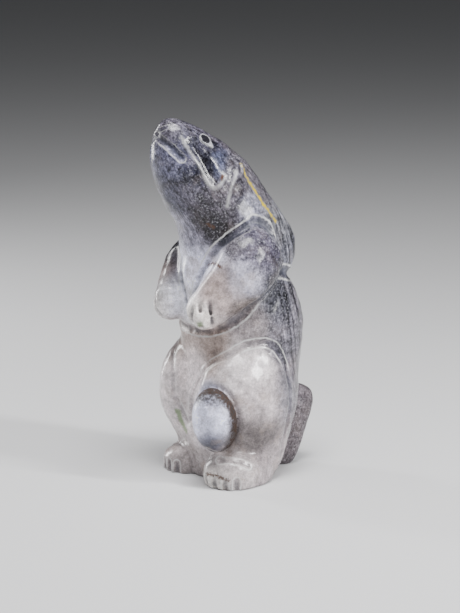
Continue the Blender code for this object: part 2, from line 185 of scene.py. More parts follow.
def limb(p, start, end, r0, r1, flat):
    """Field of a round limb from start to end; flat scales its thickness along X, Y and Z."""
    q = [p[i] / flat[i] for i in range(3)]
    a = [start[i] / flat[i] for i in range(3)]
    d = [end[i] / flat[i] - a[i] for i in range(3)]
    t = sum((q[i] - a[i]) * d[i] for i in range(3)) / sum(v * v for v in d)
    t = np.clip(t, 0.0, 1.0)
    r = np.sqrt(sum((q[i] - a[i] - t * d[i]) ** 2 for i in range(3)))
    return (r - (r0 + (r1 - r0) * t)) * min(flat)


def smooth_curve(knots, samples):
    """A smooth curve through rows of knots, by cubic pieces between the rows."""
    k = np.array(knots, float)
    at = np.arange(len(k), dtype=float)
    slope = np.gradient(k, axis=0)
    t = np.linspace(0.0, len(k) - 1.0, samples)
    i = np.clip(np.floor(t).astype(int), 0, len(k) - 2)
    u = (t - at[i])[:, None]
    return ((1 + 2 * u) * (1 - u) ** 2 * k[i] + u * (1 - u) ** 2 * slope[i]
            + u * u * (3 - 2 * u) * k[i + 1] + u * u * (u - 1) * slope[i + 1])


def lofted(across, depth, along, stations, power):
    """Field of a body with a rounded cross-section at each station along its axis."""
    t, middle, width, height = smooth_curve(stations, 400).T
    c = np.interp(along, t, middle)
    a = np.interp(along, t, width)
    b = np.interp(along, t, height)
    k = (np.abs(across / a) ** power + np.abs((depth - c) / b) ** power) ** (1 / power)
    f = (k - 1.0) * np.minimum(a, b)
    beyond = np.maximum(np.maximum(t[0] - along, along - t[-1]), 0.0)
    return np.where(beyond > 0, np.sqrt(np.maximum(f, 0) ** 2 + beyond ** 2), f)


def sided(points, side):
    """Points of a line on the left side, or mirrored to the right side when side is -1."""
    return [(x * side, y, z) for x, y, z in points]


def arm_line(points, side):
    """A line around the arm; on the right side it sinks with the lower shoulder."""
    moved = []
    for x, y, z in sided(points, side):
        share = (z - ARM_LINE_FLOOR) / (SHOULDER_TOP - ARM_LINE_FLOOR)
        drop = RIGHT_SHOULDER_DROP if side < 0 else 0.0
        moved.append((x, y, z - drop * min(max(share, 0.0), 1.0)))
    return moved


def head_field(p):
    """The head and neck, swept along an axis that rises forward."""
    rise = math.radians(HEAD_RISE)
    y = p[1] - HEAD_ROOT[1]
    z = p[2] - HEAD_ROOT[2]
    along = z * math.sin(rise) - y * math.cos(rise)
    depth = y * math.sin(rise) + z * math.cos(rise)
    return lofted(p[0], depth, along, HEAD, 2.2)


def arm_field(p, side):
    """A plump upper arm that folds forward and down to a small paw; the right shoulder is lower."""
    if side > 0:
        shoulder = egg(p, (9.3, 0.2, 46.2), (5.4, 6.2, 6.6), (25, 0, 0))
        start = (9.4, -2.4, 42.9)
    else:
        shoulder = egg(p, (-9.0, 1.2, 46.2 - RIGHT_SHOULDER_DROP), (5.2, 5.8, 6.0), (25, 0, 0))
        start = (-9.5, -2.2, 42.6 - RIGHT_SHOULDER_DROP)
    end = (6.1 * side, -8.9, 36.4)
    return smooth_min(shoulder, limb(p, start, end, 6.4, 4.2, (0.8, 1.0, 1.0)), 3.0)


def haunch_field(p, side):
    """A folded hind leg: a full thigh over a lower leg."""
    thigh = egg(p, (7.3 * side, 0.4, 17.4), (7.2, 10.6, 11.3), power=2.2)
    shin = egg(p, (7.0 * side, 1.5, 9.0), (5.6, 7.6, 10.0), power=2.3)
    return smooth_min(thigh, shin, 2.0)


def masses(p):
    """The whole figure without its cut lines."""
    f = lofted(p[0], p[1], p[2], TRUNK, 2.2)
    f = smooth_min(f, head_field(p), 3.5)
    for side in (1, -1):
        f = smooth_min(f, haunch_field(p, side), 2.0)
        f = smooth_min(f, arm_field(p, side), 1.0)
        ear = egg(p, (6.9 * side, -2.5, 64.4), (1.1, 2.0, 3.0), (-30, -20 * side, 0))
        f = smooth_min(f, ear, 0.6)
    left_foot = egg(p, (8.6, -2.6, 2.6), (5.7, 7.9, 4.6), (0, 0, 16), 2.6)
    right_foot = egg(p, (-6.8, -3.0, 1.6), (5.2, 6.6, 4.0), (0, 0, -8), 2.6)
    knee = egg(p, KNEE_PLACE, KNEE_RADII, KNEE_TILT)
    tail = egg(p, (0.0, 14.9, 8.4), (3.4, 4.6, 9.0), (-22, 0, 0), 4.0)
    f = smooth_min(f, left_foot, 1.0)
    f = smooth_min(f, right_foot, 1.0)
    f = smooth_min(f, knee, 0.5)
    f = smooth_min(f, tail, 0.8)
    return f


def slope_at(p, h=0.05):
    """Gradient of the field at the points p, a row for each axis."""
    rows = []
    for i in range(3):
        ahead = [c + (h if j == i else 0.0) for j, c in enumerate(p)]
        behind = [c - (h if j == i else 0.0) for j, c in enumerate(p)]
        rows.append((masses(ahead) - masses(behind)) / (2 * h))
    return np.array(rows)


def onto_surface(points, rounds=6):
    """The points moved along the field's slope until they lie on the surface."""
    q = np.array(points, float).T
    for _ in range(rounds):
        slope = slope_at(q)
        q = q - masses(q) * slope / np.maximum((slope ** 2).sum(0), 1e-6)
    return q.T


def squared_gap(x, y, z, line):
    """Squared distance from the places x, y, z to the nearest point of a line."""
    nearest = None
    for a, b in zip(line[:-1], line[1:]):
        d = b - a
        t = ((x - a[0]) * d[0] + (y - a[1]) * d[1] + (z - a[2]) * d[2]) / max(float(d @ d), 1e-9)
        t = np.clip(t, 0.0, 1.0)
        gap = (x - a[0] - t * d[0]) ** 2 + (y - a[1] - t * d[1]) ** 2 + (z - a[2] - t * d[2]) ** 2
        nearest = gap if nearest is None else np.minimum(nearest, gap)
    return nearest


def near_block(axes, points, reach):
    """The block of the grid within reach of some points: its slices and its coordinates."""
    points = np.asarray(points, float)
    spans = []
    for i in range(3):
        low = np.searchsorted(axes[i], points[:, i].min() - reach)
        high = np.searchsorted(axes[i], points[:, i].max() + reach)
        spans.append(slice(low, high))
    block = np.meshgrid(*(axes[i][spans[i]] for i in range(3)), indexing="ij", sparse=True)
    return tuple(spans), block


def carve(f, axes, points, width, depth, curved=True):
    """Cuts a V groove into the field, or raises a ridge where the depth is negative."""
    line = onto_surface(smooth_curve(points, 6 * len(points)) if curved else points)
    spans, (x, y, z) = near_block(axes, line, width)
    u = np.clip(np.sqrt(squared_gap(x, y, z, line)) / width, 0.0, 1.0)
    f[spans] += depth * (1.0 - u) ** 1.5 * (1.0 + 0.5 * u)
    return line, width


def finger_lines(side):
    """Three short cuts that part the fingers of a paw."""
    lines = []
    for k in range(3):
        top = (side * (7.0 + 1.25 * k), -13.4 + 1.45 * k, 37.2 + 0.6 * k)
        low = (side * (5.8 + 1.25 * k), -12.2 + 1.7 * k, 33.2 - 0.15 * k)
        lines.append((top, low))
    return lines


def toe_lines(front, turn, spread=19.0, count=4):
    """Short upright cuts that part the toes of a foot, spread about its front."""
    lines = []
    for k in range(count):
        swing = math.radians(turn + spread * (k - 0.5 * (count - 1)))
        x = front[0] + front[2] * math.sin(swing)
        y = front[1] - front[2] * math.cos(swing)
        lines.append(((x, y, 2.1), (x, y, -0.3)))
    return lines


def hand_wave(p):
    """Slow unevenness left by work with hand tools."""
    x, y, z = p
    return (0.07 * np.sin(0.83 * x + 0.31 * z) * np.cos(0.94 * y - 0.42 * z)
            + 0.045 * np.sin(1.9 * y + 0.8 * x) * np.cos(1.6 * z - 0.5 * x))


def knee_seam(p):
    """Distance from the seam between the knee and the haunch; positive on the knee."""
    return haunch_field(p, 1) - egg(p, KNEE_PLACE, KNEE_RADII, KNEE_TILT)


def eye_frame(side):
    """The frame of an eye: a place on the head's surface, two directions along it and the outward one."""
    spot = onto_surface([(EYE_SPOT[0] * side, EYE_SPOT[1], EYE_SPOT[2])])
    outward = slope_at(spot.T)[:, 0]
    outward /= np.linalg.norm(outward)
    down = np.array((0.0, 0.0, -1.0)) + outward * outward[2]
    down /= np.linalg.norm(down)
    return spot[0], down, np.cross(outward, down), outward


def cut_socket(f, axes, side):
    """A round hole in the head for an eye."""
    spot, _, _, outward = eye_frame(side)
    spans, p = near_block(axes, [spot], 3.0)
    q = [p[i] - spot[i] for i in range(3)]
    height = sum(q[i] * outward[i] for i in range(3))
    out = np.sqrt(np.maximum(sum(c * c for c in q) - height ** 2, 0.0))
    hole = np.maximum(out - EYE_RADIUS - SOCKET_SPARE, -EYE_DEPTH - SOCKET_SPARE - height)
    f[spans] = np.maximum(f[spans], -hole)


def carve_figure(f, axes):
    """Cuts every line into the field and returns the lines by kind, for the masks."""
    lines = {"deep": [], "line": [], "dark": [], "ridge": [], "finger": [], "toe": [], "crack": []}

    def cut(kind, points, width, depth, curved=True):
        lines[kind].append(carve(f, axes, points, width, depth, curved))

    for side in (1, -1):
        front = HAUNCH_FRONT_LEFT if side > 0 else sided(HAUNCH_FRONT_RIGHT, -1)
        cut("deep", arm_line(ARM_FRONT, side), 1.0, 1.0)
        cut("deep", arm_line(ARM_REAR, side), 1.15, 0.95)
        cut("deep", sided(ARM_UNDER, side), 1.1, 1.1)
        cut("deep", sided(BACK_FOLD, side), 1.3, 0.8)
        cut("line", sided(tuple(front) + HAUNCH_TOP, side), 0.85, 0.75)
        cut("deep", sided(MOUTH, side), 0.8, 1.1)
        cut("line", sided(NOSE_EDGE, side), 0.45, 0.2)
        cut("line", sided(ANKLE, side), 0.75, 0.55)
        # These lines also darken the stone's colour around them as painted shade
        cut("dark", sided(NOSTRIL, side), 0.5, 0.35)
        cut("dark", sided(BROW, side), 0.7, 0.28)
        cut("dark", sided(CHEEK_HOLLOW, side), 1.7, 0.45)
        cut("dark", sided(EAR_RIM, side), 0.7, 0.5)
        cut("dark", sided(EAR_FOLD, side), 0.6, 0.45)
        # These raised ridges are also painted pale in the colour, as a highlight
        cut("ridge", sided(CHEEK_RIDGE, side), 0.75, -0.16)
        cut("ridge", sided(NECK_LINE, side), 0.7, -0.12)
        for pair in finger_lines(side):
            cut("finger", pair, 0.66, 1.2, curved=False)
        cut_socket(f, axes, side)
    for pair in toe_lines((8.6, -2.6, 7.7), 24) + toe_lines((-6.8, -3.0, 6.6), -8):
        cut("toe", pair, 0.75, 1.3, curved=False)
    cut("crack", TOE_CRACK, 0.45, 0.3)
    spans, p = near_block(axes, [KNEE_PLACE], max(KNEE_RADII) + 2.0)
    seam = np.clip(np.abs(knee_seam(p) + 0.2) / 0.9, 0.0, 1.0)
    f[spans] += 0.9 * (1.0 - seam) ** 1.3 * np.clip((p[2] - KNEE_FOOT) / 1.5, 0.0, 1.0)
    return lines


def fill_crossings(inside, f):
    """Fills cells that meet only at an edge or corner, where the mesh would touch itself."""
    for _ in range(12):
        bad = np.zeros_like(inside)
        for first, second in ((0, 1), (0, 2), (1, 2)):
            squares = {}
            for i in (0, 1):
                for j in (0, 1):
                    cut = [slice(None)] * 3
                    cut[first] = slice(i, i - 1 if i == 0 else None)
                    cut[second] = slice(j, j - 1 if j == 0 else None)
                    squares[i, j] = tuple(cut)
            a, b, c, d = (inside[squares[k]] for k in ((0, 0), (1, 0), (0, 1), (1, 1)))
            odd = (a & d & ~b & ~c) | (b & c & ~a & ~d)
            for cut in squares.values():
                bad[cut] |= odd
        bad &= ~inside
        if not bad.any():
            break
        f[bad] = -1e-3
        inside |= bad


def surface_mesh(f, axes):
    """Quads over the zero level of the field, with one vertex in each cell that it crosses."""
    inside = f < 0
    fill_crossings(inside, f)
    shape = np.array(f.shape)
    corners = [(i, j, k) for i in (0, 1) for j in (0, 1) for k in (0, 1)]

    def corner(grid, c):
        return grid[c[0]:shape[0] - 1 + c[0], c[1]:shape[1] - 1 + c[1], c[2]:shape[2] - 1 + c[2]]

    count = sum(corner(inside, c).astype(np.int8) for c in corners)
    crossed = (count > 0) & (count < 8)
    cells = np.argwhere(crossed)
    number = np.full(crossed.shape, -1, np.int64)
    number[crossed] = np.arange(len(cells))
    total = np.zeros((len(cells), 3))
    hits = np.zeros(len(cells))
    for start in corners:
        for axis in range(3):
            if start[axis]:
                continue
            end = list(start)
            end[axis] = 1
            fa = corner(f, start)[crossed]
            fb = corner(f, tuple(end))[crossed]
            cross = (fa < 0) != (fb < 0)
            spot = np.tile(np.array(start, float), (len(cells), 1))
            spot[:, axis] += np.where(cross, fa / np.where(cross, fa - fb, 1.0), 0.0)
            total += spot * cross[:, None]
            hits += cross
    step = np.array([a[1] - a[0] for a in axes])
    low = np.array([a[0] for a in axes])
    verts = low + (cells + total / hits[:, None]) * step

    quads = []
    for axis in range(3):
        others = [d for d in range(3) if d != axis]
        ahead = [slice(None)] * 3
        behind = [slice(None)] * 3
        ahead[axis] = slice(0, -1)
        behind[axis] = slice(1, None)
        first = inside[tuple(ahead)]
        edges = np.argwhere(first != inside[tuple(behind)])
        leaving = first[tuple(edges.T)]

        def cell(d1, d2):
            at = edges.copy()
            at[:, others[0]] -= d1
            at[:, others[1]] -= d2
            return number[tuple(at.T)]

        faces = np.stack([cell(1, 1), cell(0, 1), cell(0, 0), cell(1, 0)], 1)
        keep = leaving if axis != 1 else ~leaving
        faces[~keep] = faces[~keep][:, ::-1]
        quads.append(faces)
    return verts, np.concatenate(quads)


def read_field(f, axes, points):
    """Values of the field at points, read between the grid's corners."""
    step = np.array([a[1] - a[0] for a in axes])
    low = np.array([a[0] for a in axes])
    at = (points - low) / step
    base = np.clip(np.floor(at).astype(int), 0, np.array(f.shape) - 2)
    u = at - base
    value = np.zeros(len(points))
    for i in (0, 1):
        for j in (0, 1):
            for k in (0, 1):
                weight = (np.where(i, u[:, 0], 1 - u[:, 0]) * np.where(j, u[:, 1], 1 - u[:, 1])
                          * np.where(k, u[:, 2], 1 - u[:, 2]))
                value += weight * f[base[:, 0] + i, base[:, 1] + j, base[:, 2] + k]
    return value


def evened(f, axes, verts, quads, rounds=3):
    """The mesh with its vertices spread evenly and set back onto the zero level."""
    h = 0.3 * (axes[0][1] - axes[0][0])
    for _ in range(rounds):
        total = np.zeros_like(verts)
        count = np.zeros(len(verts))
        for i in range(4):
            for j in (1, 3):
                np.add.at(total, quads[:, i], verts[quads[:, (i + j) % 4]])
                np.add.at(count, quads[:, i], 1)
        moved = 0.5 * verts + 0.5 * total / count[:, None]
        for _ in range(2):
            slope = np.stack([(read_field(f, axes, moved + np.eye(3)[i] * h)
                               - read_field(f, axes, moved - np.eye(3)[i] * h)) / (2 * h)
                              for i in range(3)], 1)
            size = np.maximum((slope ** 2).sum(1), 0.05)
            moved -= (read_field(f, axes, moved) / size)[:, None] * slope
        verts = moved
    return verts


def placed(points):
    """Figure units as places in metres, with the origin under the figure's middle."""
    return (np.asarray(points, float) - (0.0, ORIGIN_Y, 0.0)) * UNIT


# Soft patches of tint: place, reach, colour and how speckled the stone is there. The low haunch and knee patches are
# painted shade.
# Patches of both sides are measured on the left side; the others keep their sign of X.
BOTH_SIDES = (
    ((2.5, -14.8, 72.8), 3.2, (0.15, 0.14, 0.17), 0.5),
    ((4.6, -12.4, 70.8), 3.0, (0.072, 0.072, 0.098), 0.6),
    ((2.0, -6.5, 72.0), 4.0, (0.11, 0.1, 0.13), 0.5),
    ((5.8, -6.6, 69.6), 1.7, (0.057, 0.057, 0.081), 0.4),
    ((7.4, -5.8, 66.6), 2.0, (0.14, 0.15, 0.22), 0.4),
    ((7.0, -9.8, 66.2), 1.8, (0.053, 0.053, 0.071), 0.5),
    ((7.2, -3.6, 65.0), 2.0, (0.17, 0.16, 0.19), 0.9),
    ((3.4, -15.4, 66.0), 3.6, (0.21, 0.21, 0.29), 0.6),
    ((6.0, -12.8, 63.6), 2.2, (0.043, 0.043, 0.06), 0.8),
    ((1.5, -15.6, 60.5), 4.0, (0.12, 0.12, 0.16), 0.5),
    ((4.6, -13.2, 60.0), 2.6, (0.17, 0.16, 0.2), 0.6),
    ((6.6, -9.6, 57.2), 2.8, (0.098, 0.09, 0.11), 1.0),
    ((6.8, -8.2, 53.0), 3.2, (0.028, 0.024, 0.031), 1.0),
    ((8.6, -4.5, 57.0), 2.6, (0.13, 0.12, 0.14), 0.8),
    ((9.0, -2.9, 60.0), 1.7, (0.06, 0.056, 0.072), 0.6),
    ((9.4, -0.5, 56.6), 2.6, (0.29, 0.29, 0.35), 0.6),
    ((5.0, 4.0, 62.5), 5.0, (0.14, 0.13, 0.15), 0.5),
    ((9.0, 8.0, 52.0), 4.6, (0.19, 0.19, 0.21), 0.6),
    ((9.0, 9.5, 46.0), 4.2, (0.15, 0.15, 0.18), 0.5),
    ((1.0, -9.0, 50.5), 3.6, (0.32, 0.31, 0.38), 0.4),
    ((2.0, -9.0, 44.5), 4.2, (0.76, 0.76, 0.9), 0.15),
    ((0.5, -10.0, 37.5), 5.0, (0.76, 0.76, 0.83), 0.1),
    ((13.4, 0.5, 48.4), 4.6, (0.14, 0.13, 0.17), 1.0),
    ((14.2, 4.0, 43.0), 4.0, (0.062, 0.061, 0.076), 1.0),
    ((10.6, -5.2, 49.2), 2.0, (0.16, 0.15, 0.17), 0.8),
    ((13.4, -4.6, 43.2), 3.2, (0.49, 0.48, 0.56), 0.2),
    ((8.0, -7.8, 46.8), 2.4, (0.57, 0.56, 0.64), 0.2),
    ((9.6, -9.4, 41.6), 3.8, (0.47, 0.4, 0.39), 0.15),
    ((6.6, -13.0, 36.0), 3.0, (0.92, 0.87, 0.84), 0.05),
    ((12.0, -3.4, 37.4), 2.4, (0.21, 0.18, 0.17), 0.4),
    ((3.0, -8.0, 28.5), 5.0, (0.42, 0.35, 0.32), 0.15),
    ((0.0, -8.5, 24.0), 4.0, (0.89, 0.81, 0.83), 0.1),
    ((11.5, -1.0, 32.6), 3.6, (0.32, 0.29, 0.3), 0.3),
    ((12.6, 5.0, 37.0), 4.4, (0.12, 0.12, 0.14), 0.9),
    ((12.0, 6.0, 30.5), 4.0, (0.18, 0.17, 0.2), 0.6),
    ((5.0, 13.0, 33.0), 7.0, (0.16, 0.15, 0.17), 0.6),
    ((11.5, -3.0, 24.6), 4.4, (0.61, 0.57, 0.58), 0.05),
    ((14.0, -1.0, 18.0), 4.8, (0.53, 0.48, 0.49), 0.1),
    ((13.2, 5.6, 18.5), 3.6, (0.24, 0.23, 0.26), 0.3),
    # Painted shade: the low part of each haunch, darker where light from above falls off
    ((13.2, -2.0, 10.0), 4.2, (0.19, 0.17, 0.17), 0.1),
    ((6.0, 13.0, 18.0), 7.0, (0.21, 0.19, 0.21), 0.4),
    ((12.0, 3.0, 4.0), 5.0, (0.39, 0.35, 0.36), 0.1),
    ((0.0, 18.5, 9.0), 6.0, (0.16, 0.14, 0.15), 0.5),
)
LEFT_ALONE = (
    # Painted shade: the dark low side of the knee, where light from above falls off
    ((10.6, -12.6, 8.2), 3.2, (0.06, 0.06, 0.09), 0.1),
    ((8.4, -12.8, 15.6), 4.6, (0.74, 0.75, 0.90), 0.0),
    ((13.0, -7.0, 4.0), 4.6, (0.51, 0.47, 0.47), 0.05),
    ((10.6, -9.6, 1.4), 2.8, (0.73, 0.7, 0.67), 0.05),
)
RIGHT_ALONE = (
    ((-7.5, -9.0, 18.0), 6.0, (0.66, 0.61, 0.62), 0.05),
    ((-8.0, -8.0, 2.5), 4.5, (0.46, 0.42, 0.42), 0.05),
    ((-7.0, -12.0, 38.0), 4.5, (0.59, 0.58, 0.6), 0.1),
    ((-10.0, -6.0, 45.5), 4.0, (0.034, 0.032, 0.038), 0.7),
)
FAR = 4.0
PALEST = 0.62
TINT_DEPTH = 1.35


def tints_at(v):
    """Colour and speckle of the stone at the places v, blended from the patches, painted shade included."""
    places = [(((x, y, z), (-x, y, z)), r, c, s) for (x, y, z), r, c, s in BOTH_SIDES]
    places += [((p,), r, c, s) for p, r, c, s in LEFT_ALONE + RIGHT_ALONE]
    total = np.full(len(v), 1e-9)
    blend = np.zeros((len(v), 4))
    for spots, reach, colour, speckle in places:
        for spot in spots:
            weight = np.exp(-1.6 * ((v - spot) ** 2).sum(1) / reach ** 2) + 1e-7
            total += weight
            blend += weight[:, None] * np.array((*colour, speckle))
    blend /= total[:, None]
    return PALEST * (blend[:, :3] / PALEST) ** TINT_DEPTH, blend[:, 3]


def nearest(v, lines):
    """Distance of the places v from the nearest of some lines, each with its own unit of length."""
    gaps = [np.sqrt(squared_gap(v[:, 0], v[:, 1], v[:, 2], line)) / unit for line, unit in lines]
    return np.minimum(np.min(gaps, axis=0), FAR)


def marks_at(v, lines):
    """Named values at the places v that the stone's material builds on."""
    def traces(*groups):
        return [(onto_surface(smooth_curve(g, 30)), 1.0) for g in groups]

    near_knee = (((v - KNEE_PLACE) ** 2).sum(1) < (max(KNEE_RADII) + 2.0) ** 2) & (v[:, 2] > KNEE_FOOT)
    seam = np.where(near_knee, knee_seam(v.T), -FAR)
    ragged = np.clip((v[:, 1] + 10.0) / 2.0, 0.0, 1.0) + np.clip((v[:, 2] - 17.0) / 2.0, 0.0, 1.0)
    tint, speckle = tints_at(v)
    head = np.clip((v[:, 2] - 0.7 * v[:, 1] - 52.0) / 8.0, 0.0, 1.0)
    back = np.clip((v[:, 1] - 3.0) / 5.0, 0.0, 1.0) * np.clip((v[:, 2] - 18.0) / 8.0, 0.0, 1.0)
    limbs = [field(v.T, side) for field in (arm_field, haunch_field) for side in (1, -1)]
    outer = np.clip((np.min(limbs, axis=0) - 0.1) / 0.5, 0.0, 1.0)
    on_head = np.clip((v[:, 2] - 0.7 * v[:, 1] - 60.0) / 4.0, 0.0, 1.0)
    below_mouth = np.clip((69.2 - v[:, 2] - 0.9 * (v[:, 1] + 15.5)) / 0.8, 0.0, 1.0)
    return {
        "tint": tint,
        # Share of the painted highlight along the cuts: full outside the limbs and below the mouth
        "outer": (1.0 - on_head) * outer + on_head * (0.25 + 0.75 * below_mouth),
        "speckle": speckle,
        "cut": nearest(v, lines["deep"] + lines["toe"] + lines["finger"]),
        "line": nearest(v, lines["line"]),
        "hollow_shade": nearest(v, lines["dark"]),
        "ridge": nearest(v, lines["ridge"]),
        "vein": nearest(v, traces(VEIN)),
        "rust": nearest(v, traces(RUST_ARC, RUST_EAR, RUST_NECK, TOE_CRACK)),
        "green": nearest(v, traces(GREEN_HAUNCH, GREEN_FINGER)),
        "knee": np.clip(seam, -FAR, FAR),
        "ragged": np.clip(ragged, 0.0, 1.0),
        "head": head,
        "back": back,
    }


class Nodes:
    """Short ways to add the nodes of one material."""

    def __init__(self, name):
        self.material = bpy.data.materials.new(name)
        self.material.use_nodes = True
        self.tree = self.material.node_tree
        self.shader = self.tree.nodes["Principled BSDF"]

    def feed(self, socket, value):
        if isinstance(value, bpy.types.NodeSocket):
            self.tree.links.new(value, socket)
        else:
            socket.default_value = value

    def add(self, kind, **settings):
        node = self.tree.nodes.new(kind)
        for key, value in settings.items():
            setattr(node, key, value)
        return node

    def value(self, name):
        """A value stored on the mesh."""
        return self.add("ShaderNodeAttribute", attribute_name=name).outputs["Fac"]

    def math(self, operation, a, b=0.0):
        node = self.add("ShaderNodeMath", operation=operation)
        self.feed(node.inputs[0], a)
        self.feed(node.inputs[1], b)
        return node.outputs[0]

    def span(self, value, low, high, start=0.0, end=1.0):
        """Eases from start to end while the value goes from low to high."""
        node = self.add("ShaderNodeMapRange", interpolation_type="SMOOTHSTEP")
        for i, x in enumerate((value, low, high, start, end)):
            self.feed(node.inputs[i], x)
        return node.outputs[0]

    def band(self, value, middle, width):
        """1 where the value is at the middle, easing to 0 at the width on either side."""
        return self.span(self.math("ABSOLUTE", self.math("SUBTRACT", value, middle)), 0.0, width, 1.0, 0.0)

    def noise(self, place, scale, detail=4.0, rough=0.55):
        node = self.add("ShaderNodeTexNoise")
        self.feed(node.inputs["Vector"], place)
        node.inputs["Scale"].default_value = scale
        node.inputs["Detail"].default_value = detail
        node.inputs["Roughness"].default_value = rough
        return node.outputs["Fac"]

    def millimetres(self, tilt=0.0, stretch=(1.0, 1.0, 1.0)):
        """The object's coordinates in millimetres, turned about X and then stretched."""
        place = self.add("ShaderNodeTexCoord").outputs["Object"]
        turn = self.add("ShaderNodeMapping")
        self.feed(turn.inputs["Vector"], place)
        turn.inputs["Rotation"].default_value = (math.radians(tilt), 0.0, 0.0)
        scale = self.add("ShaderNodeVectorMath", operation="MULTIPLY")
        self.feed(scale.inputs[0], turn.outputs[0])
        scale.inputs[1].default_value = [1000.0 * s for s in stretch]
        return scale.outputs[0]

    def blend(self, factor, a, b, kind="MIX"):
        node = self.add("ShaderNodeMix", data_type="RGBA", blend_type=kind)
        self.feed(node.inputs["Factor"], factor)
        for socket, colour in ((node.inputs[6], a), (node.inputs[7], b)):
            self.feed(socket, colour if isinstance(colour, bpy.types.NodeSocket) else (*colour, 1.0))
        return node.outputs[2]

    def brighten(self, colour, amount):
        """The colour times an amount that varies over the surface."""
        node = self.add("ShaderNodeVectorMath", operation="SCALE")
        self.feed(node.inputs[0], colour)
        self.feed(node.inputs["Scale"], amount)
        return node.outputs[0]


# Painted shade laid into the floors of the cuts and lines
CUT_FLOOR_SHADE = (0.050, 0.058, 0.092)
# Painted highlight along the edges of the cuts and on the raised ridges
CUT_EDGE_HIGHLIGHT = (0.66, 0.66, 0.66)
PALE_GRAIN = (0.60, 0.60, 0.66)
BLACK_GRAIN = (0.018, 0.016, 0.020)
VEIN_OCHRE = (0.46, 0.35, 0.0)
VEIN_PALE = (0.30, 0.25, 0.16)
RUST = (0.085, 0.040, 0.022)
GREEN = (0.17, 0.26, 0.10)
# Knee rim colour: real rusty dirt in the ragged collar, painted shade along the seam line
KNEE_DIRT_AND_SHADE = (0.040, 0.020, 0.012)


